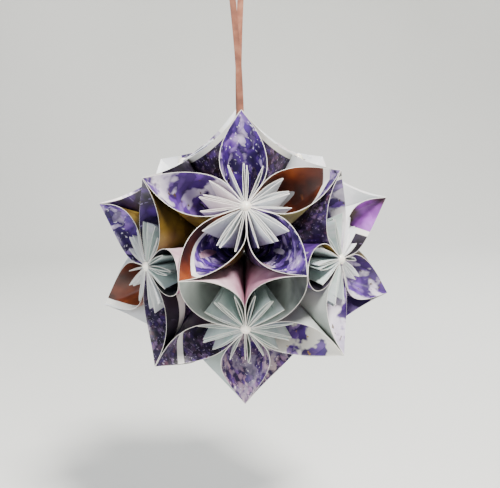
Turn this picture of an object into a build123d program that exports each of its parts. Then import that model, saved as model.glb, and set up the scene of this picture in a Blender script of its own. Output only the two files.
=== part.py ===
"""Kusudama flower ball: twelve five-petal flowers of folded paper on the faces of a dodecahedron.

Every petal is one square sheet. It is folded in half corner to corner, its two side flaps are
pleated, and it is rolled about its middle until the outermost flaps meet and are glued. The rolled
sheet is a cone with its point at the sheet's middle, and its rim is the sheet's cut edge. The
pleats stand inside it as three double leaves, the stamens. Sixty petals make the ball, a pearl
bead covers the middle of each flower, and a ribbon loop is knotted into the gap at the top.

Frame: origin at the ball's centre, +Z up along the ribbon, -Y towards the front.
X, Y and Z are two-fold axes of the ball. Units are millimetres and degrees.
"""

import os
from math import acos, asin, atan2, cos, degrees, hypot, radians, sin, sqrt, tan

from build123d import *

# Paper
sheet_side = 100.0
sheet_thickness = 0.12
glue_line = 0.08

# Flower
petals_per_flower = 5
point_radius = 1.5  # from the ball's centre to the point that a flower is rolled about
point_trim = 3.0  # length crushed away at each petal's point
point_plug = 2.0  # length above that where the rolled layers are pressed solid

# Petal wall, in a plane across the flower's axis at the height of the petals' tips
glued_turn = 13.0  # width of the flat strip that is glued to the next petal, seen from the point
tip_half_angle = 50.0
tip_straight = 3.0

# Stamens: each side flap is folded in half twice, so a leaf is a quarter of a right angle wide
leaf_turn = 22.5
stamen_turn = 19.5  # from the petal's middle to a side stamen's straight leaf
leaf_gape = 0.9  # widest opening between two leaves
gape_start = 16.0  # height above the point where the leaves part
leaf_fold = 0.4  # a leaf's folded edge to the opening
leaf_root = 3.0  # distance from the flower's axis to the opening

# Bead
bead_diameter = 5.0
bead_sink = 3.4  # how far the bead is pressed in below the flower's rim
bead_clearance = 0.05

# Ribbon loop and its knot
ribbon_width = 3.0
ribbon_thickness = 0.3
ribbon_turn = 20.0  # the ribbon's flat side is turned this far from the front
knot_diameter = 8.0
knot_clearance = 0.3
knot_cut = 3.4  # from the knot's middle up to its flat top, where the ribbon leaves it
bend_share = 0.45  # of a run, taken up by the arc at each of its ends

halvings = 40

# The rest follows from the sheet and from the dodecahedron.
golden = (1 + sqrt(5)) / 2
leaf = 2 * sheet_thickness  # the corner of each flap is folded down over its leaf
wall = 2 * sheet_thickness
wedge = 180 / petals_per_flower  # half of the turn that a petal has in its flower
petal_height = sheet_side / 2  # from the point to the rim along the glued seam
petal_length = sheet_side / sqrt(2)  # from the point to the tip
tip_to_axis = degrees(acos(golden / sqrt(3) / sqrt(3 - golden)))  # seen from the ball's centre
tip_radius = point_radius * cos(radians(tip_to_axis)) + sqrt(
    petal_length**2 - (point_radius * sin(radians(tip_to_axis))) ** 2
)
tip_x = tip_radius * sin(radians(tip_to_axis))
tip_z = tip_radius * cos(radians(tip_to_axis)) - point_radius
section_height = tip_z + 2  # the petal's cone is drawn to here, then cut to its rim
section_reach = section_height * tip_x / tip_z


def outline_points(inset, bulge):
    """Half outline of a petal across the flower's axis, inset from the lines that it glues to.

    It gives the seam, the ends and handles of the curved stretch, and the tip. The handles share
    out the way to the corner where the two straight stretches would meet.
    """
    away = Vector(cos(radians(wedge)), sin(radians(wedge)))
    inward = Vector(sin(radians(wedge)), -cos(radians(wedge)))
    back = Vector(-cos(radians(tip_half_angle)), sin(radians(tip_half_angle)))
    down = Vector(-sin(radians(tip_half_angle)), -cos(radians(tip_half_angle)))
    seam = Vector(inset / sin(radians(wedge)), 0)
    tip = Vector(section_reach - inset / sin(radians(tip_half_angle)), 0)
    flat_end = away * (section_height * tan(radians(glued_turn))) + inward * inset
    curve_end = Vector(section_reach, 0) + back * tip_straight + down * inset
    gap = curve_end - flat_end
    to_corner = (gap.X * back.Y - gap.Y * back.X) / (away.X * back.Y - away.Y * back.X)
    corner = flat_end + away * to_corner
    first = flat_end + (corner - flat_end) * bulge
    second = curve_end + (corner - curve_end) * bulge
    return seam, flat_end, first, second, curve_end, tip


def curve_point(points, share):
    """The point of a four-point Bezier curve at a share of its way."""
    start, first, second, end = points
    rest = 1 - share
    return (
        start * rest**3
        + first * (3 * share * rest**2)
        + second * (3 * share**2 * rest)
        + end * share**3
    )


def rim_points(bulge, steps=24):
    """Where the sheet's edge lies once it is rolled, from the seam's flat end to the tip.

    Each direction from the point is turned from the seam by as much paper as lies between, and
    the edge is petal_height away from the point divided by that turn's cosine.
    """
    seam, *curve, tip = outline_points(glue_line / 2, bulge)
    way = [curve_point(curve, step / steps) for step in range(steps + 1)] + [tip]
    lines = [Vector(spot.X, spot.Y, section_height).normalized() for spot in way]
    turn = degrees(atan2(hypot(way[0].X, way[0].Y), section_height))
    rim = []
    for line, following in zip(lines, lines[1:] + lines[-1:]):
        rim.append((turn, line * (petal_height / cos(radians(turn)))))
        turn += line.get_angle(following)
    return rim


def where(rising, value, low, high):
    """Where a rising function reaches a value, between low and high."""
    for halving in range(halvings):
        middle = (low + high) / 2
        if rising(middle) < value:
            low = middle
        else:
            high = middle
    return (low + high) / 2


# The petal bulges as far as takes up all the paper between the seam and the tip, 45 degrees of it.
bulge = where(lambda bulge: rim_points(bulge)[-1][0], 45, 0, 1)
rim = [point for turn, point in rim_points(bulge)]
print("petal: bulge", round(bulge, 3), "tip", rim[-1], "tip radius", round(tip_radius, 2))


def petal_section(inset):
    """A petal's outline across the flower's axis, as a face."""
    seam, flat_end, first, second, curve_end, tip = outline_points(inset, bulge)
    with BuildSketch(Plane.XY.offset(section_height)) as section:
        with BuildLine():
            Line(seam, flat_end)
            Bezier(flat_end, first, second, curve_end)
            Line(curve_end, tip)
            mirror(about=Plane.XZ)
        make_face()
    return section.sketch.face()


def inset_point(inset):
    """Where the inset walls of a petal come together."""
    x = inset / sin(radians(wedge))
    return Vertex(x, 0, (x + inset / sin(radians(tip_half_angle))) * tip_z / tip_x)


cone_inset = glue_line / 2
cone_end = petal_section(cone_inset)
with BuildPart() as cone:
    loft(sections=[Vertex(0, 0, 0), cone_end], ruled=True)

hollow_inset = cone_inset + wall
hollow_end = petal_section(hollow_inset)
with BuildPart() as hollow:
    loft(sections=[inset_point(hollow_inset), hollow_end], ruled=True)
    split(bisect_by=Plane.XY.offset(point_trim + point_plug), keep=Keep.TOP)

# The sheet's cut edge, seen from the side. It is level along the seam and climbs to the tip.
beyond_tip = rim[-1] + (rim[-1] - rim[-2])
with BuildSketch(Plane.XZ) as side_view:
    with BuildLine():
        level = Line((0, petal_height), (rim[0].X, petal_height))
        climb = Spline(*[(point.X, point.Z) for point in rim[::4] + rim[-1:]])
        overrun = Line(climb @ 1, (beyond_tip.X, beyond_tip.Z))
        Polyline(overrun @ 1, (beyond_tip.X, point_trim), (0, point_trim), level @ 0)
    make_face()

bead_height = petal_height + bead_diameter / 2 - bead_sink
with BuildPart() as petal:
    add(cone.part)
    add(hollow.part, mode=Mode.SUBTRACT)
    extrude(side_view.sketch, amount=petal_length, both=True, mode=Mode.INTERSECT)
    split(bisect_by=Plane.XY.offset(point_trim), keep=Keep.TOP)
    with Locations((0, 0, bead_height)):
        Sphere(bead_diameter / 2 + bead_clearance, mode=Mode.SUBTRACT)

# The stamens. Each flap makes two double leaves in planes through the flower's axis. The two in
# the middle are glued back to back. They all stand a glue line inside the petal's wall.
stamen_start = point_trim + point_plug + glue_line
leaf_slope = tan(radians(leaf_turn))
leaf_reach = petal_height * leaf_slope


def leaf_section(height, root, reach, low, high, swell):
    """A strip along X at a height, straight on one side and swollen on the other."""
    third = (reach - root) / 3
    handle = high + 4 / 3 * swell
    corners = [(reach, high), (reach, low), (root, low), (root, high)]
    with BuildSketch(Plane.XY.offset(height)) as section:
        with BuildLine():
            Bezier((root, high), (root + third, handle), (reach - third, handle), (reach, high))
            Polyline(*dict.fromkeys(corners))
        make_face()
    return section.sketch.face()


pleat_start = leaf_section(stamen_start, 0, stamen_start * leaf_slope, 0, leaf, 0)
pleat_end = leaf_section(petal_height, 0, leaf_reach, 0, 2 * leaf, leaf_gape)
gape_end = leaf_section(petal_height, leaf_root, leaf_reach - leaf_fold, leaf, leaf, leaf_gape)
gape_point = Vertex(gape_start * leaf_slope - leaf_fold, leaf, gape_start)
with BuildPart() as pleat:
    loft(sections=[pleat_start, pleat_end], ruled=True)
    loft(sections=[gape_point, gape_end], ruled=True, mode=Mode.SUBTRACT)

pocket_inset = hollow_inset + glue_line
pocket_end = petal_section(pocket_inset)
with BuildPart() as pocket:
    loft(sections=[inset_point(pocket_inset), pocket_end], ruled=True)
    with Locations((0, 0, bead_height)):
        Sphere(bead_diameter / 2 + bead_clearance, mode=Mode.SUBTRACT)

side_face = Plane((0, 0, 0), x_dir=(0, 0, 1), z_dir=(0, 1, 0)).rotated((0, 0, stamen_turn))
with BuildPart() as stamens:
    add(pleat.part)
    split(bisect_by=side_face.offset(-glue_line), keep=Keep.BOTTOM)
    add(pleat.part.rotate(Axis.Z, stamen_turn))
    mirror(about=Plane.XZ)
    add(pocket.part, mode=Mode.INTERSECT)

with BuildPart() as flower:
    with PolarLocations(0, petals_per_flower):
        add(petal.part)

with BuildPart() as flower_stamens:
    with PolarLocations(0, petals_per_flower):
        add(stamens.part)

with BuildPart() as bead:
    with Locations((0, 0, bead_height)):
        Sphere(bead_diameter / 2)

# The flowers stand on the faces of a dodecahedron, which has a petal tip at each corner.
flower_axes = {
    "front_upper": (0, -golden, 1),
    "front_lower": (0, -golden, -1),
    "back_upper": (0, golden, 1),
    "back_lower": (0, golden, -1),
    "right_front": (golden, -1, 0),
    "left_front": (-golden, -1, 0),
    "right_back": (golden, 1, 0),
    "left_back": (-golden, 1, 0),
    "top_right": (1, 0, golden),
    "top_left": (-1, 0, golden),
    "bottom_right": (1, 0, -golden),
    "bottom_left": (-1, 0, -golden),
}


def flower_plane(axis):
    """The plane that a flower is built on, at its point, with X towards the tip of a petal.

    Every face of the dodecahedron has a corner whose three coordinates are equally large.
    """
    outward = Vector(*axis).normalized()
    corner = Vector(*[1 if share >= 0 else -1 for share in axis])
    side = corner - outward * corner.dot(outward)
    return Plane(outward * point_radius, x_dir=side, z_dir=outward)


os.makedirs("parts", exist_ok=True)
for place, axis in flower_axes.items():
    for name, piece in (("flower", flower), ("stamens", flower_stamens), ("bead", bead)):
        copy = piece.part.moved(flower_plane(axis).location)
        copy.label = f"{name}_{place}"
        export_step(copy, f"parts/{copy.label}.step")

# The knot is glued in where the gap between the four petals round the Z axis is just wide enough.
gap_lean = degrees(asin(1 / sqrt(3 - golden) / golden))  # from a flower's axis to the gap's
gap_line = Vector(
    sin(radians(gap_lean)) * cos(radians(wedge)),
    sin(radians(gap_lean)) * sin(radians(wedge)),
    cos(radians(gap_lean)),
)


def gap_radius(height):
    """Room round the gap's middle line at a distance from the ball's centre."""
    spot = gap_line * height - Vector(0, 0, point_radius)
    lines = [point.normalized() for point in rim]
    return min((spot - line * spot.dot(line)).length for line in lines)


knot_height = where(gap_radius, knot_diameter / 2 + knot_clearance, 0, tip_radius)
knot_top = knot_height + knot_cut
with BuildPart() as ribbon_knot:
    with Locations((0, 0, knot_height)):
        Sphere(knot_diameter / 2)
    split(bisect_by=Plane.XY.offset(knot_top), keep=Keep.BOTTOM)
ribbon_knot.part.label = "ribbon_knot"
export_step(ribbon_knot.part, "parts/ribbon_knot.step")
print("knot at", round(knot_height, 2), "ribbon starts at", round(knot_top, 2))

# The ribbon goes up in front, over the top of the loop and down behind.
ribbon_route = [
    (0.3, -0.7, knot_top),
    (0.6, -0.9, 61),
    (0.1, -2.3, 90),
    (-1.9, -5.4, 117.5),
    (-3.1, -8.7, 137.5),
    (-3.5, -9.7, 149.3),
    (-2.2, -6.0, 154.8),
    (0, 0, 156.8),
    (2.2, 6.0, 154.8),
    (3.5, 9.7, 149),
    (3.1, 8.5, 137),
    (2.0, 5.6, 118.5),
    (0.1, 2.6, 91),
    (-0.5, 1.1, 62.5),
    (-0.3, 0.8, knot_top),
]


def bend_radii(route):
    """Arcs as large as the runs beside each bend allow."""
    spots = [Vector(*point) for point in route]
    runs = [end - start for start, end in zip(spots, spots[1:])]
    return [
        bend_share * min(run.length, onward.length) / tan(radians(run.get_angle(onward) / 2))
        for run, onward in zip(runs, runs[1:])
    ]


ribbon_radii = bend_radii(ribbon_route)
print("ribbon bends", [round(radius, 1) for radius in ribbon_radii])
ribbon_across = Vector(cos(radians(ribbon_turn)), -sin(radians(ribbon_turn)))
with BuildPart() as hanging_ribbon:
    with BuildLine():
        path = FilletPolyline(*ribbon_route, radius=ribbon_radii)
    with BuildSketch(Plane(path @ 0, x_dir=ribbon_across, z_dir=path % 0)):
        Rectangle(ribbon_width, ribbon_thickness)
    sweep(path=path)
hanging_ribbon.part.label = "hanging_ribbon"
export_step(hanging_ribbon.part, "parts/hanging_ribbon.step")
print("ribbon length", round(path.length, 1), "volume", round(hanging_ribbon.part.volume, 1))
print("section times length", round(path.length * ribbon_width * ribbon_thickness, 1))
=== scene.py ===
"""Kusudama flower ball: sixty petals folded from magazine pages, twelve pearls and a ribbon loop.

Lengths are millimetres and angles degrees until a mesh is made, which is in metres in the row's
frame: +Z up along the ribbon, -Y towards the front, origin at the ball's centre. A petal is made
in its flower's frame, with its point at the origin, Z along the flower's axis and X towards the
petal's tip. Then it is turned into place and eased to where its tip and its bead really are.
"""

from math import acos, asin, cos, pi, radians, sin, sqrt, tan

import bpy
import numpy as np
from mathutils import Matrix, Vector


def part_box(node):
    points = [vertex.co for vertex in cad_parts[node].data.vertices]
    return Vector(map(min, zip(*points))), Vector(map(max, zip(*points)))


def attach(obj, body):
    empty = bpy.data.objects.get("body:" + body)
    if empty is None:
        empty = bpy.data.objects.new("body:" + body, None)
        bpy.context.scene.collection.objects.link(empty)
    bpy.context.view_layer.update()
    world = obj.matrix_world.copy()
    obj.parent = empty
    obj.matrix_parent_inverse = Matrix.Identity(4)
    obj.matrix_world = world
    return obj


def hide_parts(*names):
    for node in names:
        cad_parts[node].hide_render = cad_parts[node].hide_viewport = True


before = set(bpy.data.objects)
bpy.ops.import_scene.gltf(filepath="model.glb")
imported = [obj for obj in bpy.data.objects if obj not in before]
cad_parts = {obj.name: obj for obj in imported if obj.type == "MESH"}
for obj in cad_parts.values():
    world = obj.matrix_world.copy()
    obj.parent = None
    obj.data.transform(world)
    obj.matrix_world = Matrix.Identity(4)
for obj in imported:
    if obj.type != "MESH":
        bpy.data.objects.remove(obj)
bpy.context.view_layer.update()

MM = 0.001
GOLDEN = (1 + sqrt(5)) / 2

# The folded sheet, as in the CAD model
SHEET_SIDE = 100.0
PETAL_HEIGHT = SHEET_SIDE / 2
PETAL_LENGTH = SHEET_SIDE / sqrt(2)
PETALS = 5
WEDGE = 180 / PETALS
POINT_RADIUS = 1.5
POINT_TRIM = 3.0
GLUE_LINE = 0.08
GLUED_TURN = 13.0
TIP_HALF_ANGLE = 50.0
TIP_STRAIGHT = 3.0
BULGE = 0.569
LEAF_TURN = 22.5
STAMEN_TURN = 21.0
BEAD_DIAMETER = 5.0
BEAD_SINK = 3.4
BEAD_BORE = 1.0
RIBBON_WIDTH = 3.0
RIBBON_THICKNESS = 0.3

# Paper as it shows: two sheets in a petal's wall, one in a stamen's leaf with its turned corner
WALL_THICKNESS = 0.22
LEAF_THICKNESS = 0.18

TIP_TO_AXIS = acos(GOLDEN / sqrt(3) / sqrt(3 - GOLDEN))
TIP_RADIUS = POINT_RADIUS * cos(TIP_TO_AXIS) + sqrt(
    PETAL_LENGTH**2 - (POINT_RADIUS * sin(TIP_TO_AXIS)) ** 2
)
TIP_X = TIP_RADIUS * sin(TIP_TO_AXIS)
TIP_Z = TIP_RADIUS * cos(TIP_TO_AXIS) - POINT_RADIUS
SECTION_HEIGHT = TIP_Z + 2
SECTION_REACH = SECTION_HEIGHT * TIP_X / TIP_Z

FLOWERS = {
    "front_upper": (0, -GOLDEN, 1),
    "front_lower": (0, -GOLDEN, -1),
    "back_upper": (0, GOLDEN, 1),
    "back_lower": (0, GOLDEN, -1),
    "right_front": (GOLDEN, -1, 0),
    "left_front": (-GOLDEN, -1, 0),
    "right_back": (GOLDEN, 1, 0),
    "left_back": (-GOLDEN, 1, 0),
    "top_right": (1, 0, GOLDEN),
    "top_left": (-1, 0, GOLDEN),
    "bottom_right": (1, 0, -GOLDEN),
    "bottom_left": (-1, 0, -GOLDEN),
}

# The dodecahedron's corners that show from the front, where three petals' tips meet
TIPS = {
    "top": (0, -1 / GOLDEN, GOLDEN),
    "bottom": (0, -1 / GOLDEN, -GOLDEN),
    "upper_left": (-1, -1, 1),
    "upper_right": (1, -1, 1),
    "lower_left": (-1, -1, -1),
    "lower_right": (1, -1, -1),
    "far_left_high": (-GOLDEN, 0, 1 / GOLDEN),
    "far_left_low": (-GOLDEN, 0, -1 / GOLDEN),
    "far_right_high": (GOLDEN, 0, 1 / GOLDEN),
    "far_right_low": (GOLDEN, 0, -1 / GOLDEN),
    "middle_left": (-1 / GOLDEN, -GOLDEN, 0),
    "middle_right": (1 / GOLDEN, -GOLDEN, 0),
}

# How far hand work put a tip or a flower's bead from its even place: to the right, and up
TIP_LEANS = {
    "top": (0.7, 0.0),
    "bottom": (-1.5, 0.5),
    "upper_left": (0.3, -1.9),
    "upper_right": (0.7, -0.4),
    "lower_left": (0.0, -2.4),
    "lower_right": (1.3, 0.8),
    "far_left_high": (0.0, -1.0),
    "far_left_low": (-0.5, 1.2),
    "far_right_high": (1.0, -1.8),
    "far_right_low": (0.3, 3.4),
    "middle_left": (-1.2, 0.4),
    "middle_right": (-0.4, 1.3),
}
BEAD_LEANS = {
    "front_upper": (1.4, 0.4),
    "front_lower": (-0.2, 0.5),
    "left_front": (-1.0, -0.8),
    "right_front": (-0.9, 0.0),
}
LEAN_SPREAD = 0.9  # of the places that aren't listed

# ---------------------------------------------------------------- camera

CAMERA_DISTANCE = 0.4262
CAMERA_ELEVATION = 10.4
CAMERA_ROLL = 1.7  # the ball's top leans left in the picture


def make_camera():
    """The photograph's view of the ball, from a little above its middle."""
    data = bpy.data.cameras.new("camera")
    data.sensor_width = 36
    data.lens = 64.3
    data.shift_x = 0.0122
    data.shift_y = 0.0138
    data.clip_start = 0.01
    camera = bpy.data.objects.new("camera", data)
    rise = radians(CAMERA_ELEVATION)
    back = Vector((0, -cos(rise), sin(rise)))
    camera.location = back * CAMERA_DISTANCE
    aim = (-back).to_track_quat("-Z", "Y")
    camera.rotation_mode = "QUATERNION"
    camera.rotation_quaternion = aim @ Matrix.Rotation(radians(-CAMERA_ROLL), 3, "Z").to_quaternion()
    bpy.context.collection.objects.link(camera)
    bpy.context.scene.camera = camera


make_camera()

# ---------------------------------------------------------------- node materials


class Tree:
    """A new material's node tree, with short ways to add the nodes that the papers share."""

    def __init__(self, name):
        self.material = bpy.data.materials.new(name)
        self.material.use_nodes = True
        self.nodes = self.material.node_tree.nodes
        self.links = self.material.node_tree.links
        self.shader = self.nodes["Principled BSDF"]

    def put(self, socket, value):
        """Links a socket to another, or sets it to a plain value."""
        if isinstance(value, bpy.types.NodeSocket):
            self.links.new(value, socket)
        else:
            socket.default_value = value

    def add(self, kind, **sockets):
        node = self.nodes.new(kind)
        for name, value in sockets.items():
            self.put(node.inputs[name.replace("_", " ")], value)
        return node

    def place(self, layer):
        """The coordinates of a UV layer, in millimetres."""
        node = self.nodes.new("ShaderNodeUVMap")
        node.uv_map = layer
        return node.outputs["UV"]

    def noise(self, vector, size, detail=2.0, roughness=0.5, output="Fac"):
        """Noise whose lumps are about size millimetres across."""
        node = self.add("ShaderNodeTexNoise", Vector=vector, Scale=1 / size, Detail=detail)
        node.inputs["Roughness"].default_value = roughness
        return node.outputs[output]

    def math(self, operation, first, second=0.0, clamp=False):
        node = self.nodes.new("ShaderNodeMath")
        node.operation = operation
        node.use_clamp = clamp
        self.put(node.inputs[0], first)
        self.put(node.inputs[1], second)
        return node.outputs[0]

    def step(self, value, low, high):
        """0 below low, 1 above high, and a ramp between."""
        node = self.nodes.new("ShaderNodeMapRange")
        self.put(node.inputs["Value"], value)
        node.inputs["From Min"].default_value = low
        node.inputs["From Max"].default_value = high
        return node.outputs["Result"]

    def ramp(self, value, stops):
        """A colour for each value, from (place, colour) pairs."""
        node = self.nodes.new("ShaderNodeValToRGB")
        self.put(node.inputs["Fac"], value)
        while len(node.color_ramp.elements) < len(stops):
            node.color_ramp.elements.new(0.5)
        for element, (place, colour) in zip(node.color_ramp.elements, stops):
            element.position = place
            element.color = (*colour, 1)
        return node.outputs["Color"]

    def mix(self, share, first, second, blend="MIX"):
        node = self.nodes.new("ShaderNodeMix")
        node.data_type = "RGBA"
        node.blend_type = blend
        self.put(node.inputs["Factor"], share)
        for socket, value in ((node.inputs[6], first), (node.inputs[7], second)):
            self.put(socket, (*value, 1) if isinstance(value, tuple) else value)
        return node.outputs[2]

    def bump(self, height, distance, strength=1.0):
        node = self.add("ShaderNodeBump", Height=height, Strength=strength)
        node.inputs["Distance"].default_value = distance
        self.links.new(node.outputs["Normal"], self.shader.inputs["Normal"])


def colours(*codes):
    """Linear colours from hexadecimal ones."""
    made = []
    for code in codes:
        parts = [int(code[i : i + 2], 16) / 255 for i in (0, 2, 4)]
        made.append(
            tuple(p / 12.92 if p <= 0.04045 else ((p + 0.055) / 1.055) ** 2.4 for p in parts)
        )
    return made


# Each kind of picture: ground colours and the size of their fields, bloom colours with the
# blooms' size, how much they cover and how soft their clusters end, and flecks with their share.
PICTURES = {
    "violet": dict(
        ground=colours("160a2c", "331a60", "56308c", "8460b0", "bfaad4"), field=15,
        bloom=colours("1b0e36", "381d68", "5a349a", "42227a", "8a68ba", "cab8de"),
        size=3.8, cover=0.75, soft=0.03, fleck=colours("efeaf6")[0], flecks=0.12,
    ),
    "lavender": dict(
        ground=colours("8d83a2", "b4aac0", "d3ccd6", "e6e1e3"), field=20,
        bloom=colours("2a154a", "4e2b80", "6b42a0", "3d2068", "9072b8"),
        size=4.8, cover=0.66, soft=0.03, fleck=colours("4a3a1e")[0], flecks=0.06,
    ),
    "cream": dict(
        ground=colours("b9b3b0", "d9d4cb", "e8e4da", "f1eee8"), field=24,
        bloom=colours("321c54", "502e86", "684498", "9478b4"),
        size=4.8, cover=0.5, soft=0.02, fleck=colours("b08a2c")[0], flecks=0.05,
    ),
    "meadow": dict(
        ground=colours("4a4058", "8a7d98", "b49fae", "d6bcc0"), field=13,
        bloom=colours("23143e", "462a78", "704c9e", "966e9c", "c9a6b6"),
        size=2.2, cover=0.66, soft=0.05, fleck=colours("e8dce4")[0], flecks=0.12,
    ),
    "tweed": dict(
        ground=colours("0e0a15", "1d162b", "332a48", "53446e"), field=8,
        bloom=colours("170e20", "311e4e", "50367a", "24172e", "7c628e", "523346"),
        size=1.9, cover=0.8, soft=0.05, fleck=colours("b7aac8")[0], flecks=0.14,
    ),
    "dusk": dict(
        ground=colours("14101a", "2a2434", "3f3548", "57487a"), field=13,
        bloom=colours("20152e", "40266a", "603e98", "4c4450"),
        size=5.0, cover=0.42, soft=0.08, fleck=colours("8d80b0")[0], flecks=0.05,
    ),
    "dark": dict(
        ground=colours("070509", "0f0c12", "1b1620", "2e2734"), field=18,
        bloom=colours("120e18", "231b30", "3a3040"),
        size=5.0, cover=0.35, soft=0.1, fleck=colours("5c5068")[0], flecks=0.04,
    ),
    "smoke": dict(
        ground=colours("0f0d12", "2b2a2e", "5f6461", "929894", "a9afab"), field=30,
        bloom=colours("17131c", "3a3444", "6b6f70"),
        size=7.0, cover=0.3, soft=0.12, fleck=colours("7a7480")[0], flecks=0.03,
    ),
    "rust": dict(
        ground=colours("1f0f0b", "42190c", "6f2f14", "93481f"), field=22,
        bloom=colours("2a120b", "5a2210", "8a4420"),
        size=10.0, cover=0.35, soft=0.15, fleck=colours("a8602c")[0], flecks=0.02,
    ),
    "olive": dict(
        ground=colours("1c1406", "44320b", "6b5214", "8c7430"), field=18,
        bloom=colours("2c1f08", "5d4610", "7f6a2a"),
        size=8.0, cover=0.4, soft=0.12, fleck=colours("a89a50")[0], flecks=0.04,
    ),
    "straw": dict(
        ground=colours("6b6238", "938b58", "b3ad80", "cac6a6"), field=14,
        bloom=colours("7a7040", "a39c68", "8a8064"),
        size=6.0, cover=0.45, soft=0.12, fleck=colours("d8d4bc")[0], flecks=0.04,
    ),
    "grey": dict(
        ground=colours("6d7471", "939a96", "adb3af", "c2c7c4"), field=32,
        bloom=colours("7f8683", "a5aba8"),
        size=13.0, cover=0.3, soft=0.2, fleck=colours("cfd3d1")[0], flecks=0.01,
    ),
    "pink": dict(
        ground=colours("8a5a6c", "b98d9d", "d5b9c2", "e6d6da"), field=18,
        bloom=colours("8f4f72", "c99db0", "dcc3cc"),
        size=9.0, cover=0.35, soft=0.15, fleck=colours("efe4e8")[0], flecks=0.03,
    ),
    "magenta": dict(
        ground=colours("1d0f10", "3c1c18", "7a3494", "a04cc0", "b87ccc"), field=17,
        bloom=colours("2a1414", "8c3eac", "b264cc"),
        size=12.0, cover=0.4, soft=0.1, fleck=colours("d4a4dc")[0], flecks=0.02,
    ),
    "page": dict(
        ground=colours("cfd3d6", "dfe3e5", "ebeeef", "f5f6f6"), field=26,
        bloom=colours("d6dcdf", "ece4ea", "dfe6ee"),
        size=12.0, cover=0.4, soft=0.2, fleck=colours("c2c8d0")[0], flecks=0.01,
    ),
    "blush": dict(
        ground=colours("d3c9cb", "e4dcdc", "efe9e8", "f7f3f2"), field=26,
        bloom=colours("dcced4", "ece2e4"),
        size=12.0, cover=0.4, soft=0.2, fleck=colours("cabfc8")[0], flecks=0.01,
    ),
    # Grey-mint paper for stamens and a few walls: partly a pale mint tint and partly painted shade. Its colours are
    # darkened towards the greyer look of the lower flower, which lies in shade.
    "mint_and_painted_shade": dict(
        ground=colours("98a9a5", "b4c4bf", "cad6d2", "dae3e0"), field=24,
        bloom=colours("b2c6c2", "d9d3dc", "c2ccdc"),
        size=10.0, cover=0.4, soft=0.2, fleck=colours("98a4ac")[0], flecks=0.02,
    ),
}


def spread(stops, low, high):
    """The stops of a ramp, evenly from low to high."""
    places = np.linspace(low, high, len(stops))
    return list(zip(places.tolist(), stops))


def picture(tree, place, kind):
    """Colour of a generic printed picture: soft fields, clusters of blooms, and flecks."""
    look = PICTURES[kind]
    size = look["size"]
    fields = tree.noise(place, look["field"], detail=3)
    ground = tree.ramp(fields, spread(look["ground"], 0.33, 0.67))

    sway = tree.noise(place, size * 1.4, detail=3, output="Color")
    shifted = tree.nodes.new("ShaderNodeVectorMath")
    shifted.operation = "MULTIPLY_ADD"
    tree.put(shifted.inputs[0], sway)
    shifted.inputs[1].default_value = (size * 1.8, size * 1.8, 0)
    tree.put(shifted.inputs[2], place)
    longer = tree.nodes.new("ShaderNodeMapping")
    tree.put(longer.inputs["Vector"], shifted.outputs[0])
    longer.inputs["Scale"].default_value = (1.3, 0.75, 1)

    cells = tree.add("ShaderNodeTexVoronoi", Vector=longer.outputs[0], Scale=1 / size)
    chance = tree.nodes.new("ShaderNodeSeparateColor")
    tree.put(chance.inputs[0], cells.outputs["Color"])
    bloom = tree.ramp(chance.outputs[0], spread(look["bloom"], 0.05, 0.95))
    shade = tree.math("MULTIPLY", tree.step(cells.outputs["Distance"], 0.3, 0.75), 0.75)
    bloom = tree.mix(shade, bloom, look["bloom"][0])
    clusters = tree.noise(place, size * 2.6, detail=3)
    edge = 0.5 + 0.22 * (0.5 - look["cover"])
    share = tree.step(clusters, edge - look["soft"], edge + look["soft"])
    colour = tree.mix(share, ground, bloom)

    grain = tree.add("ShaderNodeTexVoronoi", Vector=longer.outputs[0], Scale=3.4 / size)
    luck = tree.nodes.new("ShaderNodeSeparateColor")
    tree.put(luck.inputs[0], grain.outputs["Color"])
    few = tree.step(luck.outputs[1], 1 - look["flecks"], 1 - look["flecks"] * 0.7)
    near = tree.step(grain.outputs["Distance"], 0.55, 0.2)
    return tree.mix(tree.math("MULTIPLY", few, near), colour, look["fleck"])


PRINT_WHITE = colours("e9e7e2")[0]


def paper(near, far=None, strip=3.0):
    """Printed, coated magazine paper. Past a white margin strip the page shows its next picture."""
    name = f"paper_{near}_{far}" if far else f"paper_{near}"
    if name in bpy.data.materials:
        return bpy.data.materials[name]
    tree = Tree(name)
    place = tree.place("page")
    colour = picture(tree, place, near)
    if far:
        across = tree.nodes.new("ShaderNodeSeparateXYZ")
        tree.put(across.inputs[0], tree.place("margin"))
        distance = across.outputs["X"]
        colour = tree.mix(tree.step(distance, -0.1, 0.1), colour, PRINT_WHITE)
        beyond = picture(tree, place, far)
        colour = tree.mix(tree.step(distance, strip - 0.1, strip + 0.1), colour, beyond)
    tree.put(tree.shader.inputs["Base Color"], colour)
    tree.put(tree.shader.inputs["Roughness"], tree.step(tree.noise(place, 9, detail=3), -0.9, 2.3))
    tree.shader.inputs["Specular IOR Level"].default_value = 0.45
    tree.shader.inputs["Coat Weight"].default_value = 0.12
    tree.shader.inputs["Coat Roughness"].default_value = 0.3
    ripples = tree.noise(place, 7, detail=2)
    fibre = tree.noise(place, 0.6, detail=2)
    tree.bump(tree.math("ADD", ripples, tree.math("MULTIPLY", fibre, 0.03)), 0.00025, 0.6)
    return tree.material


def edge_material():
    """Cut edges of white paper, faintly fibrous."""
    tree = Tree("paper_edge")
    place = tree.nodes.new("ShaderNodeTexCoord").outputs["Object"]
    fibre = tree.noise(place, 0.0004, detail=2)
    tree.put(tree.shader.inputs["Base Color"], tree.ramp(fibre, list(zip((0.3, 0.7), colours("cfc9c2", "ece8e2")))))
    tree.shader.inputs["Roughness"].default_value = 0.75
    tree.bump(fibre, 0.00005)
    return tree.material


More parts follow.
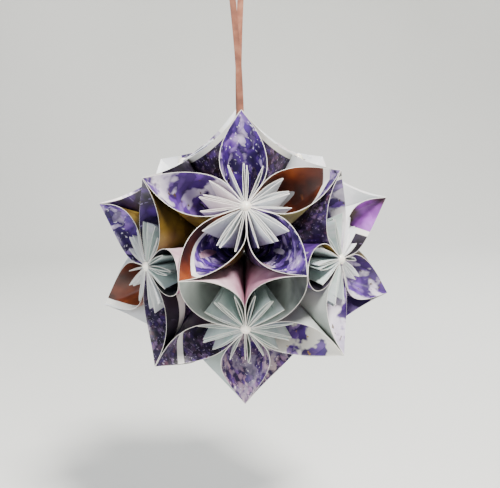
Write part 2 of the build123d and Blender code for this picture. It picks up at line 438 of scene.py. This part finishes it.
def pearl_material():
    """Cream pearl coating: a soft sheen over a faintly uneven ground."""
    tree = Tree("pearl")
    place = tree.nodes.new("ShaderNodeTexCoord").outputs["Object"]
    cloud = tree.noise(place, 0.0025, detail=3)
    tree.put(
        tree.shader.inputs["Base Color"],
        tree.ramp(cloud, list(zip((0.3, 0.55, 0.75), colours("e6dccb", "f3ede0", "fbf7f0")))),
    )
    tree.put(tree.shader.inputs["Roughness"], tree.step(cloud, -0.2, 2.6))
    tree.shader.inputs["Coat Weight"].default_value = 0.7
    tree.shader.inputs["Coat Roughness"].default_value = 0.12
    tree.shader.inputs["Sheen Weight"].default_value = 0.25
    tree.shader.inputs["Sheen Roughness"].default_value = 0.35
    tree.shader.inputs["Subsurface Weight"].default_value = 0.1
    tree.shader.inputs["Subsurface Scale"].default_value = 0.001
    tree.bump(tree.noise(place, 0.0006, detail=2), 0.00003, 0.5)
    return tree.material


def satin_material():
    """Woven satin ribbon, with long floats across and a firmer selvage."""
    tree = Tree("ribbon_satin")
    place = tree.place("weave")
    axes = tree.nodes.new("ShaderNodeSeparateXYZ")
    tree.put(axes.inputs[0], place)
    along = tree.math("SINE", tree.math("MULTIPLY", axes.outputs["X"], 2 * pi / 0.22))
    across = tree.math("SINE", tree.math("MULTIPLY", axes.outputs["Y"], 2 * pi / 0.28))
    weave = tree.math("MULTIPLY", tree.math("ADD", tree.math("MULTIPLY", across, 0.35), along), 0.4)
    shade = tree.noise(place, 5, detail=3)
    base = tree.ramp(shade, list(zip((0.3, 0.5, 0.7), colours("6e3f30", "94583f", "ab7257"))))
    # The weave's low parts are mixed towards a dark brown: painted shade in the grooves between the floats,
    # following the bump's heights.
    tree.put(
        tree.shader.inputs["Base Color"],
        tree.mix(tree.step(weave, -0.5, 0.6), tree.mix(0.35, base, colours("4a281c")[0]), base),
    )
    tree.shader.inputs["Roughness"].default_value = 0.42
    tree.shader.inputs["Anisotropic"].default_value = 0.5
    tree.shader.inputs["Sheen Weight"].default_value = 0.4
    tree.shader.inputs["Sheen Roughness"].default_value = 0.35
    tree.bump(weave, 0.00004, 0.8)
    return tree.material


EDGE = edge_material()
PEARL = pearl_material()
SATIN = satin_material()

# ---------------------------------------------------------------- meshes


def mesh_piece(name, points, faces, materials, face_materials=None, layers=None, smooth_angle=35):
    """An object in metres from points in millimetres. layers are UV layers, a pair for each corner."""
    mesh = bpy.data.meshes.new(name)
    mesh.from_pydata([tuple(p * MM for p in point) for point in points], [], faces)
    for material in materials:
        mesh.materials.append(material)
    if face_materials is not None:
        mesh.polygons.foreach_set("material_index", face_materials)
    for layer, pairs in (layers or {}).items():
        uv = mesh.uv_layers.new(name=layer)
        uv.data.foreach_set("uv", np.asarray(pairs, dtype=float).ravel())
    mesh.validate()
    mesh.shade_smooth()
    mesh.set_sharp_from_angle(angle=radians(smooth_angle))
    piece = bpy.data.objects.new(name, mesh)
    bpy.context.collection.objects.link(piece)
    return piece


# ---------------------------------------------------------------- ribbon and knot

KNOT_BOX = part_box("ribbon_knot")
KNOT_TOP = KNOT_BOX[1][2] / MM

# The same route as the CAD ribbon's
RIBBON_ROUTE = [
    (0.3, -0.7, KNOT_TOP),
    (0.6, -0.9, 61),
    (0.1, -2.3, 90),
    (-1.9, -5.4, 117.5),
    (-3.1, -8.7, 137.5),
    (-3.5, -9.7, 149.3),
    (-2.2, -6.0, 154.8),
    (0, 0, 156.8),
    (2.2, 6.0, 154.8),
    (3.5, 9.7, 149),
    (3.1, 8.5, 137),
    (2.0, 5.6, 118.5),
    (0.1, 2.6, 91),
    (-0.5, 1.1, 62.5),
    (-0.3, 0.8, KNOT_TOP),
]
RIBBON_TURN = 20.0


def smooth_route(route):
    """Points along the NURBS spline that has the route's points as its control points."""
    curve = bpy.data.curves.new("route", "CURVE")
    curve.dimensions = "3D"
    curve.resolution_u = 12
    spline = curve.splines.new("NURBS")
    spline.points.add(len(route) - 1)
    for point, place in zip(spline.points, route):
        point.co = (*place, 1)
    spline.order_u = 3
    spline.use_endpoint_u = True
    holder = bpy.data.objects.new("route", curve)
    bpy.context.collection.objects.link(holder)
    mesh = bpy.data.meshes.new_from_object(holder)
    points = [vertex.co.copy() for vertex in mesh.vertices]
    bpy.data.objects.remove(holder)
    bpy.data.curves.remove(curve)
    bpy.data.meshes.remove(mesh)
    return points


def make_ribbon():
    """A flat woven strip with rounded, slightly raised edges, carried along the route."""
    line = smooth_route(RIBBON_ROUTE)
    half = RIBBON_WIDTH / 2
    thick = RIBBON_THICKNESS / 2
    steps = 8
    top = [(half * (2 * i / steps - 1), thick * (0.75 if 0 < i < steps else 0.55)) for i in range(steps + 1)]
    top[1] = (top[1][0], thick)
    top[-2] = (top[-2][0], thick)
    outline = top + [(x, -y) for x, y in reversed(top)]
    across = Vector((cos(radians(RIBBON_TURN)), -sin(radians(RIBBON_TURN)), 0))
    points, travelled, length = [], [0.0], 0.0
    for i, spot in enumerate(line):
        ahead = (line[min(i + 1, len(line) - 1)] - line[max(i - 1, 0)]).normalized()
        across = (across - ahead * across.dot(ahead)).normalized()
        face = ahead.cross(across)
        points += [spot + across * x + face * y for x, y in outline]
        if i:
            length += (spot - line[i - 1]).length
            travelled.append(length)
    ring = len(outline)
    around = np.cumsum([0] + [
        sqrt((outline[(j + 1) % ring][0] - outline[j][0]) ** 2 + (outline[(j + 1) % ring][1] - outline[j][1]) ** 2)
        for j in range(ring)
    ])
    faces, weave = [], []
    for i in range(len(line) - 1):
        for j in range(ring):
            k = (j + 1) % ring
            faces.append((i * ring + j, i * ring + k, (i + 1) * ring + k, (i + 1) * ring + j))
            for row, mark in ((i, j), (i, j + 1), (i + 1, j + 1), (i + 1, j)):
                weave.append((travelled[row], around[mark]))
    for start, order in ((0, 1), ((len(line) - 1) * ring, -1)):
        faces.append([start + j for j in range(ring)][::order])
        weave += [(outline[j][0], outline[j][1]) for j in range(ring)][::order]
    piece = mesh_piece("hanging_ribbon_satin", points, faces, [SATIN], layers={"weave": weave})
    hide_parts("hanging_ribbon")
    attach(piece, "root")
    return piece, line, length


def make_knot():
    """The ribbon's two ends tied over each other, as wraps round a core."""
    low, high = KNOT_BOX
    centre = [(a + b) / 2 / MM for a, b in zip(low, high)]
    half = [(b - a) / 2 / MM for a, b in zip(low, high)]
    rows, columns = 40, 56
    points, faces, weave = [], [], []
    for row in range(rows + 1):
        fall = pi * row / rows
        for column in range(columns):
            turn = 2 * pi * column / columns
            direction = Vector((sin(fall) * cos(turn), sin(fall) * sin(turn), cos(fall)))
            wraps = [
                abs(direction.dot(Vector(normal).normalized()) * 1.25)
                for normal in ((0.2, 0.3, 1), (1, 0.25, -0.2), (-0.3, 1, 0.35))
            ]
            lift = max(0.0, 1 - (min(wraps) / 0.38) ** 4)
            reach = 0.86 + 0.13 * lift
            points.append(tuple(c + h * reach * d for c, h, d in zip(centre, half, direction)))
    for row in range(rows):
        for column in range(columns):
            onward = (column + 1) % columns
            faces.append((row * columns + column, (row + 1) * columns + column,
                          (row + 1) * columns + onward, row * columns + onward))
            for r, c in ((row, column), (row + 1, column), (row + 1, column + 1), (row, column + 1)):
                weave.append((c * 0.4, r * 0.25))
    piece = mesh_piece("ribbon_knot_wraps", points, faces, [SATIN], layers={"weave": weave}, smooth_angle=60)
    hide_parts("ribbon_knot")
    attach(piece, "root")
    return piece


ribbon, ribbon_line, ribbon_length = make_ribbon()
knot = make_knot()

# ---------------------------------------------------------------- a petal's wall


def half_outline(bulge, half_angle, reach):
    """Directions from a petal's point to its wall, seam to tip on the +Y side."""
    wedge, tip_angle = radians(WEDGE), radians(half_angle)
    inset = GLUE_LINE / 2
    away = np.array((cos(wedge), sin(wedge)))
    inward = np.array((sin(wedge), -cos(wedge)))
    back = np.array((-cos(tip_angle), sin(tip_angle)))
    tip = np.array((reach - inset / sin(tip_angle), 0.0))
    seam = np.array((inset / sin(wedge), 0.0))
    flat_end = away * (SECTION_HEIGHT * tan(radians(GLUED_TURN))) + inward * inset
    curve_end = tip + back * TIP_STRAIGHT
    gap = curve_end - flat_end
    to_corner = (gap[0] * back[1] - gap[1] * back[0]) / (away[0] * back[1] - away[1] * back[0])
    corner = flat_end + away * to_corner
    first = flat_end + (corner - flat_end) * bulge
    second = curve_end + (corner - curve_end) * bulge
    way = [seam + (flat_end - seam) * share for share in np.linspace(0, 1, 5)[:-1]]
    for t in np.linspace(0, 1, 17):
        r = 1 - t
        way.append(flat_end * r**3 + 3 * first * t * r**2 + 3 * second * t**2 * r + curve_end * t**3)
    way += [curve_end + (tip - curve_end) * share for share in (0.5, 1)]
    lines = np.array([(x, y, SECTION_HEIGHT) for x, y in way])
    return lines / np.linalg.norm(lines, axis=1)[:, None]


def paper_turns(lines):
    """How much paper lies between the seam and each direction, in degrees of the sheet.

    A petal's half takes up 45 degrees of its sheet, whatever its shape.
    """
    steps = np.arccos(np.clip((lines[1:] * lines[:-1]).sum(axis=1), -1, 1))
    turns = np.concatenate(([0], np.cumsum(steps)))
    return turns / turns[-1] * 45


def smoothstep(value):
    value = np.clip(value, 0, 1)
    return value * value * (3 - 2 * value)


def wall_grid(chance, opening):
    """A petal's wall as a grid of points, rows from its point to its rim, columns round it.

    It gives the points, each column's angle on the sheet from the ridge, and each point's
    distance from the sheet's middle. The wall has a sharp tip only at its rim and is rolled
    round below it. opening widens the tip, in degrees on each side.
    """
    sharp, rolled = [], []
    for _ in range(2):
        bulge = BULGE + chance.uniform(-0.06, 0.06)
        half_angle = TIP_HALF_ANGLE + opening + chance.uniform(-2, 2)
        sharp.append(half_outline(bulge, half_angle, SECTION_REACH))
        rolled.append(half_outline(bulge + 0.04, 82, SECTION_REACH * 0.945))
    turns = [paper_turns(lines) for lines in sharp]
    angles = np.concatenate((45 - turns[0], turns[1][::-1][1:] - 45))
    whole = [np.concatenate((left, right[::-1][1:] * (1, -1, 1))) for left, right in (sharp, rolled)]
    rim = PETAL_HEIGHT / np.cos(np.radians(45 - np.abs(angles)))
    shares = np.linspace(0, 1, 15)
    rows = POINT_TRIM + (rim - POINT_TRIM)[None, :] * shares[:, None]
    share = smoothstep((shares - 0.5) / 0.5)[:, None, None]
    lines = whole[0] * share + whole[1] * (1 - share)
    lines /= np.linalg.norm(lines, axis=2)[:, :, None]
    points = lines * rows[:, :, None]

    # Springy paper isn't an even cone: it swells a little between its glued strip and its tip.
    normals = np.cross(np.gradient(whole[0], axis=0), whole[0])
    normals /= np.linalg.norm(normals, axis=1)[:, None]
    free = np.sin(np.clip(np.abs(angles) / 32, 0, 1) * pi)
    wave = np.zeros(len(angles))
    for count in (1, 2, 3):
        wave += chance.uniform(-0.5, 0.5) / count * np.sin(count * angles / 32 * pi + chance.uniform(0, 6))
    lift = (rows / PETAL_LENGTH) ** 3 * (free * wave)[None, :]
    return points + normals[None, :, :] * lift[:, :, None], angles, rows


# ---------------------------------------------------------------- stamens


def hairpin(reach, gape, side):
    """Across a stamen: out along its straight leaf, round its fold and back along its bowed one."""
    out = np.linspace(0.9, reach, 9)
    bow = np.sin(pi * np.clip((out - 1.5) / (reach - 1.5), 0, 1) ** 1.25)
    there = np.stack((out, np.zeros_like(out)), axis=1)
    back = np.stack((out, side * (0.3 + gape * bow)), axis=1)[::-1]
    fold = np.array([(reach + 0.08, side * 0.15)])
    return np.concatenate((there, fold, back))


def stamen_grids(chance):
    """The double leaves of a petal, as (points, distance along the leaf, height) grids."""
    grids = []
    lean = chance.uniform(-1.5, 1.5)
    places = (
        (-STAMEN_TURN + chance.uniform(-3.5, 2.5), -1, 0.0),
        (lean, -1, -0.17),
        (lean, 1, 0.17),
        (STAMEN_TURN + chance.uniform(-2.5, 3.5), 1, 0.0),
    )
    for azimuth, side, aside in places:
        top = PETAL_HEIGHT + chance.uniform(-0.9, 0.5)
        reach = PETAL_HEIGHT * tan(radians(LEAF_TURN)) * chance.uniform(0.93, 1.03)
        gape = chance.uniform(0.25, 1.3)
        droop = chance.uniform(-2.0, 0.8)
        section = hairpin(reach, gape, side)
        turn = radians(azimuth)
        heights = np.linspace(0.14, 1, 8)
        grid = []
        for share in heights:
            x = section[:, 0] * share
            y = section[:, 1] * (share if share > 0.35 else 0.35) + aside
            bend = 0.5 * gape * side * (share**4) * (x / reach) ** 2
            y = y + bend
            z = top * share + droop * share**3 * (x / reach) ** 3
            grid.append(np.stack((x * cos(turn) - y * sin(turn), x * sin(turn) + y * cos(turn), z), axis=1))
        grids.append((np.array(grid), np.abs(section[:, 0]), heights * top))
    return grids


# ---------------------------------------------------------------- putting a petal together


def unit(corner):
    corner = np.array(corner, dtype=float)
    return corner / np.linalg.norm(corner)


def flower_frame(axis):
    """Columns X, Y and Z of a flower's frame. X is towards the tip at an even corner of the ball."""
    outward = unit(axis)
    corner = np.array([1.0 if share >= 0 else -1.0 for share in axis])
    side = unit(corner - outward * corner.dot(outward))
    return np.stack((side, np.cross(outward, side), outward), axis=1)


def corner_name(direction):
    """The name of a front corner of the ball, or None."""
    for name, corner in TIPS.items():
        if np.dot(unit(corner), direction) > 0.999:
            return name
    return None


def place_seed(direction):
    """A number that is the same for every petal whose tip meets at a corner."""
    return int(abs(np.dot(np.round(direction * 7), (101, 13, 1007))) + 17 * (np.dot(direction, (3, 2, 1)) > 0))


def lean_of(direction, leans, name):
    """How far from its even place a tip or a bead is, as a vector across the ball's radius."""
    if name in leans:
        right, up = leans[name]
        shift = np.array((right, 0.0, up))
    else:
        shift = np.random.default_rng(place_seed(direction)).normal(0, LEAN_SPREAD * 0.5, 3)
    return shift - direction * np.dot(shift, direction)


def fan_faces(rows, columns, start):
    """Quads of a grid whose points are numbered row by row from start."""
    return [
        (start + r * columns + c, start + r * columns + c + 1, start + (r + 1) * columns + c + 1, start + (r + 1) * columns + c)
        for r in range(rows - 1)
        for c in range(columns - 1)
    ]


def thicken(points, rows, columns, thickness, closed, inward):
    """Both faces and the edges of a sheet given as a grid.

    The first face is the grid itself and the second lies thickness behind it. It returns the
    points and, for each quad, its corner numbers, its part (0 front, 1 back, 2 edge) and the grid
    place, row and column, of each corner.
    """
    grid = points.reshape(rows, columns, 3)
    along = np.gradient(grid, axis=1)
    if closed:
        along[:, 0] = along[:, -1] = 0
        along[:, 0] = grid[:, 1] - grid[:, 0]
        along[:, -1] = grid[:, -1] - grid[:, -2]
    up = np.gradient(grid, axis=0)
    normal = np.cross(along, up)
    normal /= np.maximum(np.linalg.norm(normal, axis=2), 1e-9)[:, :, None]
    back = grid + normal * thickness * inward
    both = np.concatenate((grid.reshape(-1, 3), back.reshape(-1, 3)))
    count = rows * columns
    quads = []
    for r in range(rows - 1):
        for c in range(columns - 1):
            places = ((r, c), (r, c + 1), (r + 1, c + 1), (r + 1, c))
            front = [a * columns + b for a, b in places]
            if inward > 0:
                quads.append((front[::-1], 0, places[::-1]))
                quads.append(([count + n for n in front], 1, places))
            else:
                quads.append((front, 0, places))
                quads.append(([count + n for n in front[::-1]], 1, places[::-1]))
    edges = []
    for r in (0, rows - 1):
        edges += [((r, c), (r, c + 1)) for c in range(columns - 1)]
    if not closed:
        for c in (0, columns - 1):
            edges += [((r, c), (r + 1, c)) for r in range(rows - 1)]
    for first, second in edges:
        a, b = (r * columns + c for r, c in (first, second))
        flip = (first[0] == 0) == (first[1] != second[1])
        quad = [a, b, count + b, count + a]
        places = (first, second, second, first)
        if flip ^ (inward > 0):
            quad, places = quad[::-1], places[::-1]
        quads.append((quad, 2, places))
    return both, quads


def sheet_face(near, far=None, strip_at=0.0, slant=45.0):
    """A face's paper and its margin strip: distance from the sheet's middle, and slant."""
    return paper(near, far), strip_at, radians(slant)


def make_petal(flower, number, pages):
    """One folded sheet: its rolled wall and its four double leaves, in place on the ball."""
    turned = flower_frame(FLOWERS[flower])
    spin = radians(360 / PETALS * number)
    around = np.array(((cos(spin), -sin(spin), 0), (sin(spin), cos(spin), 0), (0, 0, 1)))
    to_ball = turned @ around
    axis = to_ball[:, 2]
    tip_direction = unit(to_ball @ np.array((TIP_X, 0, TIP_Z + POINT_RADIUS)))
    corner = corner_name(tip_direction)
    chance = np.random.default_rng(place_seed(tip_direction) * 31 + list(FLOWERS).index(flower))
    tip_lean = lean_of(tip_direction, TIP_LEANS, corner)
    bead_lean = lean_of(axis, BEAD_LEANS, flower)
    inside, outside, leaf = pages

    points, faces, parts, page, margin = [], [], [], [], []
    offset = chance.uniform(-900, 900, 2)
    swing = chance.uniform(0, 2 * pi)

    def add_sheet(both, quads, angle_of, radius_of, materials):
        start = len(points)
        points.extend(both)
        for quad, part, places in quads:
            faces.append([start + n for n in quad])
            parts.append(materials[part])
            strip_at, slant = (outside if part == 0 else inside)[1:]
            for r, c in places:
                turn, radius = radians(angle_of(r, c)), radius_of(r, c)
                margin.append((radius * cos(turn - slant) - strip_at, radius))
                turn += swing + pi * part
                page.append((radius * cos(turn) + offset[0], radius * sin(turn) + offset[1]))

    grid, angles, rows = wall_grid(chance, OPENINGS.get((flower, corner), 0))
    row_count, column_count = rows.shape
    weight = smoothstep((32 - np.abs(angles)) / 32)[None, :, None]
    radius = rows[:, :, None]
    shift = weight * (radius / PETAL_LENGTH) * tip_lean + (1 - weight) * (radius / PETAL_HEIGHT) * bead_lean
    ball_grid = (grid + (0, 0, POINT_RADIUS)) @ to_ball.T + shift
    both, quads = thicken(ball_grid.reshape(-1, 3), row_count, column_count, WALL_THICKNESS, True, 1)
    add_sheet(both, quads, lambda r, c: angles[c], lambda r, c: rows[r, c], (1, 0, 3))

    for leaf_number, (leaf_grid, out, heights) in enumerate(stamen_grids(chance)):
        leaf_rows, leaf_columns = leaf_grid.shape[:2]
        ball_leaf = (leaf_grid + (0, 0, POINT_RADIUS)) @ to_ball.T
        ball_leaf += bead_lean * (leaf_grid[:, :, 2:] / PETAL_HEIGHT)
        both, quads = thicken(ball_leaf.reshape(-1, 3), leaf_rows, leaf_columns, LEAF_THICKNESS, False, 1)
        add_sheet(
            both,
            quads,
            lambda r, c: 90 + 40 * leaf_number + 2.5 * out[c],
            lambda r, c: heights[r],
            (2, 2, 3),
        )

    label = corner or f"corner_{number + 1}"
    piece = mesh_piece(
        f"petal_{flower}_{label}",
        points,
        faces,
        [inside[0], outside[0], leaf, EDGE],
        parts,
        {"page": page, "margin": margin},
        smooth_angle=50,
    )
    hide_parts(f"flower_{flower}", f"stamens_{flower}")
    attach(piece, "root")


# Petals that hand work left wider open than the rest
OPENINGS = {("front_lower", "bottom"): 3, ("front_upper", "top"): 3}

# What is printed on the petals that can be seen from the front: inside, outside and on the
# stamens. A picture near the sheet's middle may be followed by a margin strip and a next picture.
# The grey-mint paper on stamens and walls is partly painted shade.
FRONT_PAGES = {
    ("front_upper", "top"): (("violet",), ("tweed",), "page"),
    ("front_upper", "upper_left"): (("lavender",), ("olive",), "blush"),
    ("front_upper", "upper_right"): (("rust", "violet", 42, -45), ("straw",), "page"),
    ("front_upper", "middle_left"): (("violet", "rust", 39, -45), ("olive",), "page"),
    ("front_upper", "middle_right"): (("violet",), ("tweed",), "page"),
    ("front_lower", "middle_left"): (("grey",), ("pink",), "mint_and_painted_shade"),
    ("front_lower", "middle_right"): (("smoke",), ("pink",), "mint_and_painted_shade"),
    ("front_lower", "lower_left"): (("tweed", "tweed", 36, -45), ("dark",), "mint_and_painted_shade"),
    ("front_lower", "lower_right"): (("cream",), ("grey",), "mint_and_painted_shade"),
    ("front_lower", "bottom"): (("meadow",), ("grey",), "mint_and_painted_shade"),
    ("left_front", "far_left_high"): (("dusk", "violet", 30, 45), ("olive",), "page"),
    ("left_front", "upper_left"): (("dusk",), ("olive",), "mint_and_painted_shade"),
    ("left_front", "middle_left"): (("dark",), ("pink",), "mint_and_painted_shade"),
    ("left_front", "far_left_low"): (("rust", "page", 46, 45), ("rust",), "page"),
    ("left_front", "lower_left"): (("tweed", "lavender", 50, 45), ("tweed", "dark", 40, 45), "page"),
    ("right_front", "upper_right"): (("lavender", "dark", 42, 45), ("tweed",), "mint_and_painted_shade"),
    ("right_front", "far_right_high"): (("dark", "magenta", 28, 45), ("page",), "page"),
    ("right_front", "middle_right"): (("dark", "olive", 43, -45), ("lavender",), "mint_and_painted_shade"),
    ("right_front", "far_right_low"): (("lavender",), ("tweed",), "page"),
    ("right_front", "lower_right"): (("lavender",), ("grey",), "mint_and_painted_shade"),
    ("top_left", "top"): (("violet", "page", 42, -45), ("tweed", "page", 47.6, -45), "page"),
    ("top_left", "upper_left"): (("cream",), ("dark", "blush", 40, -45), "page"),
    ("top_left", "far_left_high"): (("lavender", "blush", 38, 45), ("dusk",), "page"),
    ("top_right", "top"): (("violet", "page", 40, 45), ("tweed", "page", 47.6, 45), "page"),
    ("top_right", "upper_right"): (("cream",), ("page",), "page"),
    ("top_right", "far_right_high"): (("tweed", "page", 36, 45), ("page",), "page"),
    ("bottom_left", "bottom"): (("violet",), ("mint_and_painted_shade",), "mint_and_painted_shade"),
    ("bottom_left", "lower_left"): (("violet",), ("dark",), "mint_and_painted_shade"),
    ("bottom_right", "bottom"): (("violet",), ("meadow",), "mint_and_painted_shade"),
    ("bottom_right", "lower_right"): (("violet",), ("grey",), "mint_and_painted_shade"),
}
OTHER_INSIDES = (
    ("violet",), ("lavender",), ("violet", "rust"), ("rust", "violet"), ("cream",), ("tweed",),
    ("violet", "tweed"), ("meadow",), ("dark", "grey"), ("grey",), ("dusk", "lavender"),
)
OTHER_OUTSIDES = ("tweed", "olive", "pink", "grey", "rust", "lavender", "straw", "dark", "page")


def pages_of(flower, direction):
    """Papers of a petal: listed one by one where the front shows it, and at random elsewhere."""
    key = (flower, corner_name(direction))
    chance = np.random.default_rng(place_seed(direction) + 7 * list(FLOWERS).index(flower))
    if key in FRONT_PAGES:
        inside, outside, leaf = FRONT_PAGES[key]
    else:
        inside = OTHER_INSIDES[chance.integers(len(OTHER_INSIDES))]
        if len(inside) > 1:
            inside = (*inside, chance.uniform(30, 46), chance.choice((-45, 45)))
        if flower in ("top_left", "top_right"):
            inside = ("lavender", "page", 35, chance.choice((-45, 45)))
        outside = (OTHER_OUTSIDES[chance.integers(len(OTHER_OUTSIDES))],)
        leaf = ("page", "blush", "mint_and_painted_shade")[chance.integers(3)]
    return sheet_face(*inside), sheet_face(*outside), paper(leaf)


def bead_profile():
    """Half section of a drilled bead: its bore, the rounded mouth of the bore, and the ball."""
    radius = BEAD_DIAMETER / 2
    bore = BEAD_BORE / 2
    mouth = sqrt(radius**2 - (bore + 0.2) ** 2)
    start = asin(mouth / radius)
    arc = [(radius * cos(a), radius * sin(a)) for a in np.linspace(start, -start, 23)]
    wall = [(bore, -mouth + 0.25), (bore, 0), (bore, mouth - 0.25)]
    return arc + [(bore + 0.04, -mouth + 0.08)] + wall + [(bore + 0.04, mouth - 0.08)]


def make_bead(flower):
    """A drilled pearl, glued down with its bore across the flower's axis."""
    axis = unit(FLOWERS[flower])
    chance = np.random.default_rng(place_seed(axis) + 5)
    turned = flower_frame(FLOWERS[flower])
    spin = chance.uniform(0, pi)
    bore_line = turned @ np.array((cos(spin), sin(spin), 0.12))
    bore_line = unit(bore_line)
    side = unit(np.cross(bore_line, axis))
    third = np.cross(bore_line, side)
    height = POINT_RADIUS + PETAL_HEIGHT + BEAD_DIAMETER / 2 - BEAD_SINK
    centre = axis * height + lean_of(axis, BEAD_LEANS, flower)
    profile = bead_profile()
    columns = 40
    points, faces = [], []
    for radius, along in profile:
        for column in range(columns):
            turn = 2 * pi * column / columns
            points.append(centre + bore_line * along + (side * cos(turn) + third * sin(turn)) * radius)
    count = len(profile)
    for row in range(count):
        after = (row + 1) % count
        for column in range(columns):
            onward = (column + 1) % columns
            faces.append((row * columns + column, row * columns + onward, after * columns + onward, after * columns + column))
    piece = mesh_piece(f"pearl_{flower}", points, faces, [PEARL], smooth_angle=50)
    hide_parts(f"bead_{flower}")
    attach(piece, "root")


for flower, axis in FLOWERS.items():
    turned = flower_frame(axis)
    for number in range(PETALS):
        spin = radians(360 / PETALS * number)
        towards = turned @ np.array((TIP_X * cos(spin), TIP_X * sin(spin), TIP_Z + POINT_RADIUS))
        make_petal(flower, number, pages_of(flower, unit(towards)))
    make_bead(flower)

# ---------------------------------------------------------------- studio


def make_studio():
    """A plain pale floor that sweeps up behind, and soft light with a brighter key."""
    tree = Tree("studio_paper")
    place = tree.nodes.new("ShaderNodeTexCoord").outputs["Object"]
    tree.put(
        tree.shader.inputs["Base Color"],
        tree.ramp(tree.noise(place, 0.4), list(zip((0.3, 0.7), colours("d9dad6", "e1e1de")))),
    )
    tree.shader.inputs["Roughness"].default_value = 0.9
    drop, reach, bend = -0.16, 1.2, 0.35
    profile = [(-1.5, drop), (reach - bend, drop)]
    profile += [
        (reach - bend + bend * sin(a), drop + bend * (1 - cos(a))) for a in np.linspace(0, pi / 2, 14)[1:]
    ]
    profile.append((reach, 1.6))
    points = [(x / MM, y / MM, z / MM) for y, z in profile for x in (-2.0, 2.0)]
    faces = [(2 * i, 2 * i + 1, 2 * i + 3, 2 * i + 2) for i in range(len(profile) - 1)]
    mesh_piece("studio_sweep", points, faces, [tree.material], smooth_angle=60)

    world = bpy.data.worlds.new("studio")
    bpy.context.scene.world = world
    world.use_nodes = True
    world.node_tree.nodes["Background"].inputs["Color"].default_value = (0.93, 0.97, 1.0, 1)
    world.node_tree.nodes["Background"].inputs["Strength"].default_value = 0.36

    for name, place, size, power, colour in (
        ("key", (0.28, -0.55, 0.85), 0.22, 34, (1.0, 0.97, 0.91)),
        ("fill", (-0.75, -0.6, 0.2), 0.7, 6, (0.9, 0.95, 1.0)),
        ("rim", (0.3, 0.7, 0.7), 0.5, 10, (1.0, 1.0, 1.0)),
    ):
        data = bpy.data.lights.new(name, "AREA")
        data.size = size
        data.energy = power
        data.color = colour
        lamp = bpy.data.objects.new(name, data)
        lamp.location = place
        lamp.rotation_mode = "QUATERNION"
        lamp.rotation_quaternion = (-Vector(place)).to_track_quat("-Z", "Y")
        bpy.context.collection.objects.link(lamp)


make_studio()
